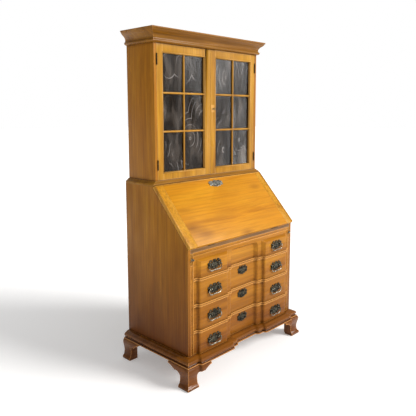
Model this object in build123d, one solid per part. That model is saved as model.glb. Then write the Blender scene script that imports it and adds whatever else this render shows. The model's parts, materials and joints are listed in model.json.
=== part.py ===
"""Block-front secretary desk with a slant lid and a glazed bookcase top, in millimetres.

+X is the desk's right as its owner faces it, -Y is the front and +Z is up. Lengths along Y are
first measured back from the face of the lower case, and save() moves every piece to the final
origin, which is the middle of the desk's footprint, on the floor.
"""
import os
from math import cos, radians, sin

from build123d import *

# Lower case
CASE_W = 914.0
CASE_D = 508.0
BOARD = 19.0
FOOT_TOP = 118.0
BASE_TOP = 161.0
DESK_TOP = 1040.0
BACK_T = 12.0
STILE_W = 18.0
PLAY = 0.3

# Drawer openings, from the bottom drawer up, and the blades between them
OPENINGS_Z = [(161.0, 279.0), (295.0, 423.0), (439.0, 565.0), (581.0, 699.5)]
OPENING_HALF = 420.0
BLADE_T = 16.0
BLADE_REACH = 5.0
BLADE_D = 60.0
BLADE_HOLLOW = 3.0

# The block front: a sunk middle, flat fields, and a raised block at each side
RECESS_HALF = 98.0
FIELD_START = 130.0
BLOCK_START = 152.0
BLOCK_FULL = 176.0
BLOCK_FALL = 380.0
BLOCK_END = 402.0
STEP_SPREAD = 0.6
RELIEF = 18.0
FRONT_BACK = 32.0

# Drawers
DRAWER_GAP = 1.0
DRAWER_SIDE_X = 416.0
DRAWER_SIDE_T = 11.0
DRAWER_BACK_Y = 468.0
DRAWER_BOTTOM_T = 6.0
TOP_BLOCK_DROP = 18.5
SUNK_HALF = 122.0
SUNK_FLOOR_HALF = 102.0

# Lid
LID_ANGLE = 47.2
LID_LENGTH = 403.0
LID_T = 20.0
LID_HALF = 456.0
LID_END_W = 58.0
WRITING_Z = 737.4
PIVOT_Y = -0.5

# Lopers
LOPER_X = 429.0
LOPER_T = 15.0
LOPER_LOW = 652.0
LOPER_TOP = 716.8
LOPER_D = 400.0
LOPER_KNOB_Z = 684.0

# Bookcase
CASE2_HALF = 431.0
CASE2_Y = 277.0
CASE2_SIDE = 18.0
CASE2_LOW = 1040.0
WAIST_TOP = 1067.0
DOOR_LOW = 1069.5
DOOR_TOP = 1800.0
CORNICE_LOW = 1802.0
CORNICE_TOP = 1879.0
DOOR_T = 20.0
DOOR_HALF_GAP = 0.75
DOOR_EDGE = 412.0
STILE_IN = 45.0
STILE_OUT = 371.0
GLASS_LOW = 1106.0
GLASS_TOP = 1757.0
MUNTIN_X = 208.0
MUNTINS_Z = [1333.0, 1543.0]
MUNTIN_W = 13.0
STICKING = 5.0
GLASS_SET = 11.0
GLASS_T = 3.0
SHELF_T = 16.0

# Moulding profiles, as reach beyond the case and height
BASE_PROFILE = [(37, 118), (39, 119.5), (39, 122), (37, 124), (30, 125.5), (28, 128), (31, 130.5),
                (34, 135), (35, 141), (33, 147), (28, 151), (22, 153), (20, 155), (15, 158), (5, 161)]
FOOT_PROFILE = [(47, 0), (50, 3), (50, 11), (47, 17), (42, 21), (39, 27), (37, 38), (36, 50), (37, 62),
                (40, 76), (43.5, 90), (45, 101), (45, 108), (42, 115), (38, 118)]
CORNICE_PROFILE = [(3, 1802), (13, 1806), (16, 1812), (14, 1818), (9, 1821), (8, 1832), (11, 1840),
                   (18, 1849), (30, 1858), (36, 1866), (37, 1870), (41, 1871), (41, 1879)]
WAIST_PROFILE = [(25, 7, 1040), (25, 15, 1048), (24, 15, 1053), (19, 12, 1056), (10, 8, 1061), (5, 5, 1067)]

FOOT_REACH = 50.0
FOOT_BULGE = 45.0
FOOT_WALL = 10.0
ORIGIN_Y = (CASE_D - RELIEF - FOOT_BULGE) / 2
HALF_W = CASE_W / 2
IN_X = HALF_W - BOARD


def save(name, *pieces):
    """Write one node, its pieces moved from the case's face to the middle of the footprint."""
    solids = [solid for piece in pieces for solid in piece.solids()]
    export_step(Pos(0, -ORIGIN_Y, 0) * Compound(children=solids), f"parts/{name}.step")


def board(x, y, z):
    """A square-edged board between three pairs of limits."""
    middle = [(low + high) / 2 for low, high in (x, y, z)]
    return Pos(*middle) * Box(x[1] - x[0], y[1] - y[0], z[1] - z[0])


def rod(start, direction, radius, length):
    """A round rod from a point along a direction."""
    return Plane(origin=start, z_dir=direction) * extrude(Circle(radius), length)


def mirrored(piece):
    """The same piece on the other side of the desk's middle."""
    return mirror(piece, about=Plane.YZ)


def side_prism(points, x):
    """A shape drawn in the side view as (y, z) points, as thick as the limits in x."""
    face = make_face(Polyline(*[(x[0], y, z) for y, z in points], close=True))
    return extrude(face, x[1] - x[0], dir=(1, 0, 0))


# --- The block front's plan -------------------------------------------------------------------

def ogee(start, end):
    """An S of two equal arcs that starts and ends along X."""
    middle = ((start[0] + end[0]) / 2, (start[1] + end[1]) / 2)
    return [TangentArc(start, middle, tangent=(1, 0)), TangentArc(end, middle, tangent=(-1, 0))]


def front_line(reach, left, right):
    """The plan of the block front between two places in X, moved forward by reach."""
    spread = STEP_SPREAD * reach
    rises = [(RECESS_HALF - spread, FIELD_START - spread, -RELIEF, 0),
             (BLOCK_START - spread, BLOCK_FULL - spread, 0, RELIEF),
             (BLOCK_FALL + spread, BLOCK_END + spread, RELIEF, 0)]
    steps = [(-high, -low, after, before) for low, high, before, after in reversed(rises)] + rises
    inside = [step for step in steps if step[0] > left and step[1] < right]
    level = inside[0][2] if inside else 0
    here = (left, -reach - level)
    edges = []
    for x0, x1, before, after in inside:
        start = (x0, -reach - before)
        end = (x1, -reach - after)
        edges += [Line(here, start)] + ogee(start, end)
        here = end
    return edges + [Line(here, (right, here[1]))]


def front_face(reach, left, right, back):
    """The area from the block front's line to a straight back."""
    edges = front_line(reach, left, right)
    start = edges[0] @ 0
    end = edges[-1] @ 1
    edges += [Line(end, (right, back)), Line((right, back), (left, back)), Line((left, back), start)]
    return Face(Wire(edges))


def block_board(reach, x, back, z):
    """A board with the block front's plan on its front edge."""
    return Pos(0, 0, z[0]) * extrude(front_face(reach, x[0], x[1], back), z[1] - z[0])


# --- Lower case -------------------------------------------------------------------------------

LID_PLANE = Plane(origin=(0, PIVOT_Y, WRITING_Z), x_dir=(1, 0, 0),
                  z_dir=(0, -sin(radians(LID_ANGLE)), cos(radians(LID_ANGLE))))


def on_lid(along, out):
    """The (y, z) place of a point that far up the slope and that far out from its inner face."""
    place = LID_PLANE.from_local_coords(Vector(0, along, out))
    return (place.Y, place.Z)


def lid_board(x, along, out):
    """A board laid along the slope of the closed lid."""
    return LID_PLANE * board(x, along, out)


LID_CLEAR = 1.5
LID_TOP_INNER = on_lid(LID_LENGTH + LID_CLEAR, -PLAY)
LID_TOP_RISE = (DESK_TOP - LID_TOP_INNER[1]) / cos(radians(LID_ANGLE))
LID_TOP_EDGE = on_lid(LID_LENGTH + LID_CLEAR, LID_TOP_RISE - PLAY)
DESK_TOP_FRONT = on_lid((DESK_TOP - BOARD - WRITING_Z) / sin(radians(LID_ANGLE)), -PLAY)


def case_side():
    """One side: square below, with its front edge sloped to carry the lid."""
    slope_start = on_lid(-(PIVOT_Y + PLAY * sin(radians(LID_ANGLE))) / cos(radians(LID_ANGLE)), -PLAY)
    outline = [(0, FOOT_TOP), slope_start, LID_TOP_INNER, LID_TOP_EDGE, (CASE_D, DESK_TOP),
               (CASE_D, FOOT_TOP)]
    return side_prism(outline, (IN_X, HALF_W))


def top_board():
    """The desk's top, with a bevelled front edge for the lid to close against."""
    back = CASE_D - BACK_T
    low_front = (DESK_TOP_FRONT[0] + LID_CLEAR, DESK_TOP - BOARD)
    outline = [low_front, LID_TOP_INNER, LID_TOP_EDGE, (back, DESK_TOP), (back, DESK_TOP - BOARD)]
    return side_prism(outline, (-IN_X, IN_X))


def front_rails():
    """The top rail, three shaped blades with a hollow between two beads, and two stile strips."""
    top = OPENINGS_Z[-1][1]
    width = (-OPENING_HALF, OPENING_HALF)
    pieces = [board(width, (0, BLADE_D), (top, WRITING_Z - BOARD))]
    bead = BLADE_T * 0.4
    for (_, low), (high, _) in zip(OPENINGS_Z, OPENINGS_Z[1:]):
        lower = block_board(BLADE_REACH, width, BLADE_D, (low, low + bead))
        hollow = block_board(BLADE_REACH - BLADE_HOLLOW, width, BLADE_D, (low + bead, high - bead))
        upper = block_board(BLADE_REACH, width, BLADE_D, (high - bead, high))
        pieces.append(lower + hollow + upper)
    strip = board((OPENING_HALF, IN_X), (0, BLADE_D), (BASE_TOP, LOPER_LOW - 1))
    return pieces + [strip, mirrored(strip)]


def runners():
    """Under each drawer a runner, beside it a guide, and a partition between drawer and loper."""
    pieces = []
    run_y = (BLADE_D, CASE_D - BACK_T)
    for number, (low, high) in enumerate(OPENINGS_Z):
        if number:
            pieces.append(board((395, OPENING_HALF), run_y, (low - BLADE_T, low)))
            pieces.append(board((OPENING_HALF, IN_X), run_y, (low - BLADE_T, low + 20)))
        else:
            pieces.append(board((OPENING_HALF, IN_X), run_y, (low, low + 20)))
    partition_top = WRITING_Z - BOARD
    pieces.append(board((OPENING_HALF, IN_X), run_y, (LOPER_LOW - 13, LOPER_LOW - 1)))
    pieces.append(board((OPENING_HALF - 8, OPENING_HALF), run_y, (LOPER_LOW - 13, partition_top)))
    return pieces + [mirrored(piece) for piece in pieces]


def ring_section(reach, z):
    """The base moulding's outline at one height."""
    half = HALF_W + reach
    return Pos(0, 0, z) * front_face(reach, -half, half, CASE_D)


def base_moulding():
    """The moulding that wraps the case's foot, also the rail under the bottom drawer."""
    outer = loft([ring_section(reach, z) for reach, z in BASE_PROFILE], ruled=True)
    tall = (FOOT_TOP - 1, BASE_TOP + 1)
    ring = outer - board((-IN_X, IN_X), (FRONT_BACK, CASE_D + 1), tall)
    side_slot = board((IN_X, HALF_W), (0, CASE_D + 1), tall)
    return ring - side_slot - mirrored(side_slot)


# --- Feet -------------------------------------------------------------------------------------

ANKLE = 78.0
REAR_ANKLE = 64.0
SIDE_WING = 166.0
REAR_WING = 130.0
FRONT_WING = 165.0
WING_TIP = 109.0
CUT_FAR = 400.0
CUT_T = 80.0


def wing_cut(ankle, tip):
    """The air under a bracket's wing, drawn as (distance from the corner, height)."""
    cusp = ankle + (tip - ankle) * 0.42
    outer = tip + CUT_FAR
    edges = [Line((ankle, -1), (ankle, 64)),
             ThreePointArc((ankle, 64), (ankle + 8, 80), (cusp - 6, 88)),
             Line((cusp - 6, 88), (cusp, 84)),
             ThreePointArc((cusp, 84), (cusp + 18, 99), (tip, WING_TIP)),
             Line((tip, WING_TIP), (outer, WING_TIP)),
             Line((outer, WING_TIP), (outer, -1)),
             Line((outer, -1), (ankle, -1))]
    return Face(Wire(edges))


def front_foot():
    """The left front foot: two ogee faces that meet at the corner, the front one blocked."""
    corner = -HALF_W - FOOT_REACH
    right = corner + FRONT_WING
    back = SIDE_WING - FOOT_REACH
    sections = []
    for reach, z in FOOT_PROFILE:
        sections.append(Pos(0, 0, z) * front_face(reach, -HALF_W - reach, right, back))
    foot = loft(sections, ruled=True)
    foot -= board((-HALF_W + FOOT_WALL, 0), (FOOT_WALL, CASE_D), (-1, FOOT_TOP + 1))
    front_plane = Plane(origin=(corner, 0, 0), x_dir=(1, 0, 0), z_dir=(0, -1, 0))
    front_air = front_plane * wing_cut(ANKLE, FRONT_WING)
    side_plane = Plane(origin=(-HALF_W, -FOOT_REACH, 0), x_dir=(0, 1, 0), z_dir=(1, 0, 0))
    side_air = side_plane * wing_cut(ANKLE, SIDE_WING)
    return foot - extrude(front_air, CUT_T, both=True) - extrude(side_air, CUT_T, both=True)


def rear_foot():
    """The left rear foot: an ogee bracket on the side and a plain bracket across the back."""
    right = -HALF_W - FOOT_REACH + REAR_WING
    start = CASE_D - REAR_WING
    sections = []
    for reach, z in FOOT_PROFILE:
        left = -HALF_W - reach
        outline = Polyline((left, start), (right, start), (right, CASE_D), (left, CASE_D), close=True)
        sections.append(Pos(0, 0, z) * make_face(outline))
    foot = loft(sections, ruled=True)
    foot -= board((-HALF_W + FOOT_WALL, 0), (0, CASE_D - BOARD), (-1, FOOT_TOP + 1))
    air = wing_cut(REAR_ANKLE, REAR_WING)
    side_air = Plane(origin=(-HALF_W, CASE_D, 0), x_dir=(0, -1, 0), z_dir=(-1, 0, 0)) * air
    back_air = Plane(origin=(-HALF_W - FOOT_REACH, CASE_D, 0), x_dir=(1, 0, 0), z_dir=(0, -1, 0)) * air
    return foot - extrude(side_air, CUT_T, both=True) - extrude(back_air, CUT_T, both=True)


# --- Drawers ----------------------------------------------------------------------------------

PULL_X = 278.0
POST_X = 36.0
PULL_SIZE = (104.0, 60.0)
KEY_PLATE_SIZE = (78.0, 50.0)
PLATE_T = 1.6
POST_R = 2.5
POST_HOLE_R = 2.6
BAIL_R = 2.3
BAIL_HOLE_R = 2.35
BAIL_OUT = 9.0
POST_HEAD_R = 5.5
PULL_Z = [(low + high) / 2 for low, high in OPENINGS_Z[:3]] + [635.0]
SIDES = {"left": -1, "right": 1}


def facing(x, y, z):
    """The front view's plane at a place: drawn with X to the right and Z up, built outwards."""
    return Plane(origin=(x, y, z), x_dir=(1, 0, 0), z_dir=(0, -1, 0))


def arched_panel(y, half, top, corner, centre, low):
    """An upright panel outline with two rounded upper corners, open to below the drawer."""
    knee = top - corner
    bend = corner * (1 - sin(radians(45)))
    left, right = centre - half, centre + half
    points = [(left, low), (left, knee), (left + corner, top),
              (right - corner, top), (right, knee), (right, low)]
    first_bend = (left + bend, top - bend)
    second_bend = (right - bend, top - bend)
    edges = [Line(points[0], points[1]), ThreePointArc(points[1], first_bend, points[2]),
             Line(points[2], points[3]), ThreePointArc(points[3], second_bend, points[4]),
             Line(points[4], points[5]), Line(points[5], points[0])]
    return facing(0, y, 0) * Face(Wire(edges))


def top_drawer_front(half, z):
    """The top drawer's front, on which the blocks and the sunk middle end below its upper edge."""
    top = z[1] - TOP_BLOCK_DROP
    front = board((-half, half), (0, FRONT_BACK), z)
    sunk = loft([arched_panel(0, SUNK_HALF, top, 30, 0, z[0] - 5),
                 arched_panel(RELIEF, SUNK_FLOOR_HALF, top - 12, 18, 0, z[0] - 5)], ruled=True)
    middle = (BLOCK_START + BLOCK_END) / 2
    block = loft([arched_panel(0, BLOCK_END - middle, top, 3, middle, z[0]),
                  arched_panel(-RELIEF, BLOCK_FALL - middle, top - 13, 2, middle, z[0])], ruled=True)
    return front - sunk + block + mirrored(block)


def drawer_front(number):
    """A drawer's front, bored for the posts of its two pulls."""
    low, high = OPENINGS_Z[number]
    z = (low + DRAWER_GAP, high - DRAWER_GAP)
    half = OPENING_HALF - DRAWER_GAP
    if number < 3:
        front = block_board(0, (-half, half), FRONT_BACK, z)
    else:
        front = top_drawer_front(half, z)
    for side in SIDES.values():
        for post in (-POST_X, POST_X):
            start = (side * PULL_X + post, -RELIEF - 1, PULL_Z[number])
            front -= rod(start, (0, 1, 0), POST_HOLE_R, RELIEF + FRONT_BACK + 2)
    return front


def drawer_box(number):
    """Two sides, a back and a bottom; the bottom is let in between the sides."""
    low, high = OPENINGS_Z[number]
    half = DRAWER_SIDE_X if number < 3 else DRAWER_SIDE_X - 8
    z = (low + DRAWER_GAP, high - 12)
    inside = half - DRAWER_SIDE_T
    side = board((inside, half), (FRONT_BACK, DRAWER_BACK_Y), z)
    back = board((-inside, inside), (DRAWER_BACK_Y - DRAWER_SIDE_T, DRAWER_BACK_Y), z)
    bottom_z = (z[0] + 6, z[0] + 6 + DRAWER_BOTTOM_T)
    bottom = board((-inside, inside), (FRONT_BACK, DRAWER_BACK_Y - DRAWER_SIDE_T), bottom_z)
    return [side, mirrored(side), back, bottom]


def bat_wing(size):
    """A pierced plate seen from the front: two wings, a crest and a drop round a middle."""
    w, h = size[0] / 2, size[1] / 2
    plate = Circle(h * 0.6) + Pos(0, h * 0.55) * Circle(h * 0.45) + Pos(0, -h * 0.62) * Circle(h * 0.38)
    for side in (-1, 1):
        plate += Pos(side * w * 0.7, 0) * Circle(w * 0.3)
        plate += Pos(side * w * 0.42, h * 0.45) * Circle(h * 0.34)
        plate += Pos(side * w * 0.38, -h * 0.42) * Circle(h * 0.34)
    for side in (-1, 1):
        plate -= Pos(side * w * 0.4, h * 0.08) * Circle(h * 0.16)
    return plate


def pull_post(x, z):
    """A post with a nut behind the front, a collar on the plate and a bored ball for the bail."""
    face = -RELIEF - PLATE_T
    ball_y = face - BAIL_OUT
    post = rod((x, ball_y, z), (0, 1, 0), POST_R, FRONT_BACK + 6 - ball_y)
    post += rod((x, FRONT_BACK, z), (0, 1, 0), 6, 4)
    post += rod((x, face, z), (0, -1, 0), 6, 2)
    post += Pos(x, ball_y, z) * Sphere(POST_HEAD_R)
    return post - rod((x - 10, ball_y, z), (1, 0, 0), BAIL_HOLE_R, 20)


def pull_plates(number):
    """The fixed brass of one drawer: two plates with two posts each, and a keyhole plate."""
    z = PULL_Z[number]
    pieces = []
    for side in SIDES.values():
        plate = facing(side * PULL_X, -RELIEF, z) * extrude(bat_wing(PULL_SIZE), PLATE_T)
        for post in (-POST_X, POST_X):
            x = side * PULL_X + post
            plate -= rod((x, -RELIEF + 1, z), (0, -1, 0), POST_HOLE_R, PLATE_T + 2)
            pieces.append(pull_post(x, z))
        pieces.append(plate)
    if number < 3:
        high = OPENINGS_Z[number][1] - 34
        keyhole = Pos(0, 3) * Circle(3) + Pos(0, -3) * Rectangle(2.4, 10)
        plate = extrude(bat_wing(KEY_PLATE_SIZE) - keyhole, PLATE_T)
        pieces.append(facing(0, RELIEF, high) * plate)
    return pieces


def bail(side, number):
    """One swinging handle, whose ends turn in through the balls of its two posts."""
    corners = [(29, 0), (47, 0), (48, -17), (34, -31)]
    points = [(-x, z) for x, z in corners] + list(reversed(corners))
    place = facing(side * PULL_X, -RELIEF - PLATE_T - BAIL_OUT, PULL_Z[number])
    path = FilletPolyline(*points, radius=[5, 12, 12, 12, 12, 5])
    wire = sweep(Plane(origin=(-29, 0, 0), z_dir=(-1, 0, 0)) * Circle(BAIL_R), path)
    return place * wire


# --- Butt hinges ------------------------------------------------------------------------------

KNUCKLE_R = 3.0
PIN_R = 1.4
PIN_HOLE_R = 1.45
LEAF_T = 1.2
LEAF_D = 20.0
KNUCKLE_GAP = 0.15


def hinge_leaf(length, thickness, own, pinned):
    """A leaf along Z: its plate starts on the pin line, and it owns the odd or the even knuckles."""
    step = length / 5
    plate = board(thickness, (0, LEAF_D), (0, length))
    knuckle = Circle(KNUCKLE_R)
    gap = Circle(KNUCKLE_R + 0.5)
    for index in range(5):
        low = index * step
        if index % 2 == own:
            plate += Pos(0, 0, low + KNUCKLE_GAP) * extrude(knuckle, step - 2 * KNUCKLE_GAP)
        else:
            plate -= Pos(0, 0, low - KNUCKLE_GAP) * extrude(gap, step + 2 * KNUCKLE_GAP)
    if pinned:
        return plate + extrude(Circle(PIN_R), length)
    return plate - Pos(0, 0, -1) * extrude(Circle(PIN_HOLE_R), length + 2)


DOOR_PIVOT_X = 412.5
DOOR_PIVOT_Y = CASE2_Y - 3.4
DOOR_HINGES_Z = [(1125.0, 1180.0), (1688.0, 1748.0)]
LID_HINGES_X = [(-310.0, -250.0), (250.0, 310.0)]
CASE2_IN = CASE2_HALF - CASE2_SIDE


def door_leaves(fixed):
    """Both leaves of the right door's two hinges, on the side board or on the door's edge."""
    thickness = (0.5, 0.5 + LEAF_T) if fixed else (-0.5 - LEAF_T, -0.5)
    leaves = []
    for low, high in DOOR_HINGES_Z:
        leaf = hinge_leaf(high - low, thickness, 0 if fixed else 1, fixed)
        leaves.append(Pos(DOOR_PIVOT_X, DOOR_PIVOT_Y, low) * leaf)
    return leaves


def door_mortises(fixed):
    """The pockets for the right door's hinge leaves."""
    x = DOOR_PIVOT_X + 0.5 if fixed else DOOR_PIVOT_X - 0.5 - LEAF_T
    pockets = []
    for low, high in DOOR_HINGES_Z:
        pockets.append(board((x, x + LEAF_T), (CASE2_Y - 1, DOOR_PIVOT_Y + LEAF_D), (low, high)))
    return pockets


def lid_leaves(fixed):
    """The leaves let into the writing board, or those let into the lid."""
    leaves = []
    for low, high in LID_HINGES_X:
        if fixed:
            leaf = hinge_leaf(high - low, (0, LEAF_T), 0, True)
            plane = Plane(origin=(low, PIVOT_Y, WRITING_Z), x_dir=(0, 0, -1), z_dir=(1, 0, 0))
        else:
            leaf = hinge_leaf(high - low, (-LEAF_T, 0), 1, False)
            plane = Plane(origin=(low, PIVOT_Y, WRITING_Z), x_dir=-LID_PLANE.z_dir, z_dir=(1, 0, 0))
        leaves.append(plane * leaf)
    return leaves


# --- Lid, writing board and lopers ------------------------------------------------------------

def knuckle_notches():
    """Round notches along the pin line that clear the lid hinges' knuckles."""
    return [rod((low - 1, PIVOT_Y, WRITING_Z), (1, 0, 0), KNUCKLE_R + 0.5, high - low + 2)
            for low, high in LID_HINGES_X]


def writing_board():
    """The fixed board behind the lid's hinge line, with pockets for the hinges."""
    piece = board((-IN_X, IN_X), (0, CASE_D - BACK_T), (WRITING_Z - BOARD, WRITING_Z))
    for low, high in LID_HINGES_X:
        piece -= board((low, high), (-1, PIVOT_Y + LEAF_D), (WRITING_Z - LEAF_T, WRITING_Z + 1))
    for notch in knuckle_notches():
        piece -= notch
    return piece


LOCK_X = 28.0
LOCK_ALONG = 352.0
LOCK_T = 13.0
BOLT_X = 12.0
BOLT_ALONG = 374.0
BOLT_OUT = (5.0, 9.0)
SLIDE_GAP = 0.2
KEYHOLE_ALONG = 366.0


def lid_panel():
    """The lid's middle, its grain across the desk, cut out for the hinges and the lock."""
    middle = LID_HALF - LID_END_W
    panel = lid_board((-middle, middle), (0, LID_LENGTH), (0, LID_T))
    for low, high in LID_HINGES_X:
        panel -= lid_board((low, high), (-1, LEAF_D), (-1, LEAF_T))
    for notch in knuckle_notches():
        panel -= notch
    panel -= lid_board((-LOCK_X, LOCK_X), (LOCK_ALONG, LID_LENGTH + 1), (-1, LOCK_T))
    return panel - LID_PLANE * Pos(0, KEYHOLE_ALONG, 0) * extrude(Circle(3), LID_T + 1)


def lid_end():
    """The right breadboard end, which keeps the panel flat."""
    return lid_board((LID_HALF - LID_END_W, LID_HALF), (0, LID_LENGTH), (0, LID_T))


def lid_brass():
    """The lid's pierced keyhole plate and, let in behind it, the case of its lock."""
    keyhole = Pos(0, 2) * Circle(3) + Pos(0, -3) * Rectangle(2.4, 9)
    plate = extrude(bat_wing((112, 46)) - keyhole, PLATE_T)
    plate = LID_PLANE * Pos(0, KEYHOLE_ALONG, LID_T) * plate
    case = lid_board((-LOCK_X, LOCK_X), (LOCK_ALONG, LID_LENGTH), (0, LOCK_T))
    slot_x = (-BOLT_X - SLIDE_GAP, BOLT_X + SLIDE_GAP)
    slot_out = (BOLT_OUT[0] - SLIDE_GAP, BOLT_OUT[1] + SLIDE_GAP)
    case -= lid_board(slot_x, (BOLT_ALONG - 1, LID_LENGTH + 1), slot_out)
    case -= LID_PLANE * Pos(0, KEYHOLE_ALONG, 3) * extrude(Circle(3), LOCK_T)
    return [plate, case]


def lid_bolt():
    """The bolt that shoots up out of the lid's top edge."""
    return lid_board((-BOLT_X, BOLT_X), (BOLT_ALONG, LID_LENGTH - 0.5), BOLT_OUT)


def strike_pocket():
    """The room that the lid's bolt shoots into."""
    return lid_board((-BOLT_X - 3, BOLT_X + 3), (LID_LENGTH, LID_LENGTH + 14), (3, 11))


def loper():
    """The right loper, bored for its knob."""
    rail = board((LOPER_X - LOPER_T / 2, LOPER_X + LOPER_T / 2), (0.5, LOPER_D), (LOPER_LOW, LOPER_TOP))
    return rail - rod((LOPER_X, 0, LOPER_KNOB_Z), (0, 1, 0), POST_HOLE_R, 25)




def loper_knob():
    """The loper's little brass knob on its spigot."""
    spigot = rod((LOPER_X, 22, LOPER_KNOB_Z), (0, -1, 0), POST_R, 30)
    collar = rod((LOPER_X, 0.5, LOPER_KNOB_Z), (0, -1, 0), 5, 2)
    return spigot + collar + Pos(LOPER_X, -10, LOPER_KNOB_Z) * Sphere(6.5)


# --- Gallery behind the lid -------------------------------------------------------------------

GALLERY_HALF = 437.0
GALLERY_Y = (270.0, 490.0)
GALLERY_TOP = 1020.0
GALLERY_WALL = 8.0
CELL_BACK = 480.0
DRAWER_ROW_Z = (746.0, 808.0)
CELLS_Z = (816.0, 1012.0)
SMALL_DRAWER_X = (150.0, 429.0)
GALLERY_SETBACK = 6.0
SMALL_FRONT_T = 10.0
SMALL_SIDE_T = 7.0
SMALL_BOTTOM_T = 6.0


def gallery_case():
    """Pigeonholes over a row of two small drawers and an open middle, one solid for each board."""
    width = (-GALLERY_HALF, GALLERY_HALF)
    depth = (GALLERY_Y[0], CELL_BACK)
    boards = [
        board(width, (CELL_BACK, GALLERY_Y[1]), (WRITING_Z, GALLERY_TOP)),
        board(width, depth, (WRITING_Z, DRAWER_ROW_Z[0])),
        board(width, depth, (DRAWER_ROW_Z[1], CELLS_Z[0])),
        board(width, (GALLERY_Y[0] + GALLERY_SETBACK, CELL_BACK), (CELLS_Z[1], GALLERY_TOP)),
    ]
    inner, outer = SMALL_DRAWER_X
    uprights = []
    for low in (outer, inner - GALLERY_WALL):
        for height in (DRAWER_ROW_Z, CELLS_Z):
            uprights.append(board((low, low + GALLERY_WALL), depth, height))
    cell = (outer - inner - 2 * GALLERY_WALL) / 3
    for index in (1, 2):
        low = inner + index * (cell + GALLERY_WALL) - GALLERY_WALL
        uprights.append(board((low, low + GALLERY_WALL), depth, CELLS_Z))
    return boards + uprights + [mirrored(upright) for upright in uprights]


def gallery_drawer():
    """The right small drawer, five boards open at the top, and its turned knob."""
    x = (SMALL_DRAWER_X[0] + 0.7, SMALL_DRAWER_X[1] - 0.7)
    y = (GALLERY_Y[0] + 1, CELL_BACK - 4)
    z = (DRAWER_ROW_Z[0] + 0.3, DRAWER_ROW_Z[1] - 1)
    front_back = y[0] + SMALL_FRONT_T
    back_front = y[1] - SMALL_SIDE_T
    inside = (x[0] + SMALL_SIDE_T, x[1] - SMALL_SIDE_T)
    boards = [
        board(x, (y[0], front_back), z),
        board((x[0], inside[0]), (front_back, y[1]), z),
        board((inside[1], x[1]), (front_back, y[1]), z),
        board(inside, (back_front, y[1]), z),
        board(inside, (front_back, back_front), (z[0], z[0] + SMALL_BOTTOM_T)),
    ]
    middle = (sum(x) / 2, y[0], sum(z) / 2)
    knob = rod(middle, (0, -1, 0), 3, 6) + Pos(middle[0], y[0] - 9, middle[2]) * Sphere(6)
    return boards + [knob]


# --- Bookcase ---------------------------------------------------------------------------------

SIDE_TOP = 1861.0
ROOF_T = 12.0


def bookcase_side():
    """The right side board, with mortises for the door's hinges."""
    side = board((CASE2_IN, CASE2_HALF), (CASE2_Y, CASE_D), (CASE2_LOW, SIDE_TOP))
    for pocket in door_mortises(True):
        side -= pocket
    return side


def bookcase_ends():
    """The bottom and top boards, the frieze board over the doors, and the roof."""
    behind_doors = (CASE2_Y + DOOR_T + 1, CASE_D - BACK_T)
    bottom = board((-CASE2_IN, CASE2_IN), (CASE2_Y, CASE_D - BACK_T), (1049, 1068))
    top = board((-CASE2_IN, CASE2_IN), behind_doors, (1784, CORNICE_LOW))
    frieze = board((-CASE2_IN, CASE2_IN), (CASE2_Y, CASE2_Y + DOOR_T + 1), (CORNICE_LOW, SIDE_TOP))
    roof = board((-CASE2_HALF, CASE2_HALF), (CASE2_Y, CASE_D), (SIDE_TOP, SIDE_TOP + ROOF_T))
    return [bottom - strike_pocket(), top, frieze, roof]


SHELF_HALF = CASE2_IN - 0.5
SHELF_Y = (310.0, 494.0)
CLEAT_Y = (320.0, 480.0)
CLEAT_SIZE = 14.0


def shelves():
    """Two shelves level with the muntins, each resting on two cleats."""
    pieces = []
    for z in MUNTINS_Z:
        low = z - SHELF_T / 2
        pieces.append(board((-SHELF_HALF, SHELF_HALF), SHELF_Y, (low, low + SHELF_T)))
        cleat = board((CASE2_IN - CLEAT_SIZE, CASE2_IN), CLEAT_Y, (low - CLEAT_SIZE, low))
        pieces += [cleat, mirrored(cleat)]
    return pieces


def wrapped_moulding(profile):
    """A moulding round the front and sides, from (side reach, front reach, height) steps."""
    sections = []
    for side_reach, front_reach, z in profile:
        half = CASE2_HALF + side_reach
        front = CASE2_Y - front_reach
        outline = Polyline((-half, front), (half, front), (half, CASE_D), (-half, CASE_D), close=True)
        sections.append(Pos(0, 0, z) * make_face(outline))
    outer = loft(sections, ruled=True)
    tall = (profile[0][2] - 1, profile[-1][2] + 1)
    return outer - board((-CASE2_HALF, CASE2_HALF), (CASE2_Y, CASE_D + 1), tall)


# --- Doors ------------------------------------------------------------------------------------

DOOR_X = (DOOR_HALF_GAP, DOOR_EDGE)
DOOR_Y = (CASE2_Y, CASE2_Y + DOOR_T)
DOOR_Z = (DOOR_LOW, DOOR_TOP)
GLASS_Y = CASE2_Y + GLASS_SET
TONGUE = 4.0
PANE_GAP = 0.5
KEY_X = 21.0
KEY_Z = 1458.0
LOCK_Y = (281.0, 291.0)
DOOR_BOLT_Y = (284.0, 288.0)
DOOR_BOLT_Z = (1470.0, 1477.0)
CHAMBER_R = 7.5


def sight_opening():
    """The opening of a door, narrowing from its face to the glass along the moulded edge."""
    x = (STILE_IN + STILE_OUT) / 2
    z = (GLASS_LOW + GLASS_TOP) / 2
    width = STILE_OUT - STILE_IN
    height = GLASS_TOP - GLASS_LOW
    front = facing(x, CASE2_Y, z) * Rectangle(width, height)
    inner = facing(x, GLASS_Y, z) * Rectangle(width - 2 * STICKING, height - 2 * STICKING)
    return loft([front, inner], ruled=True)


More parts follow.
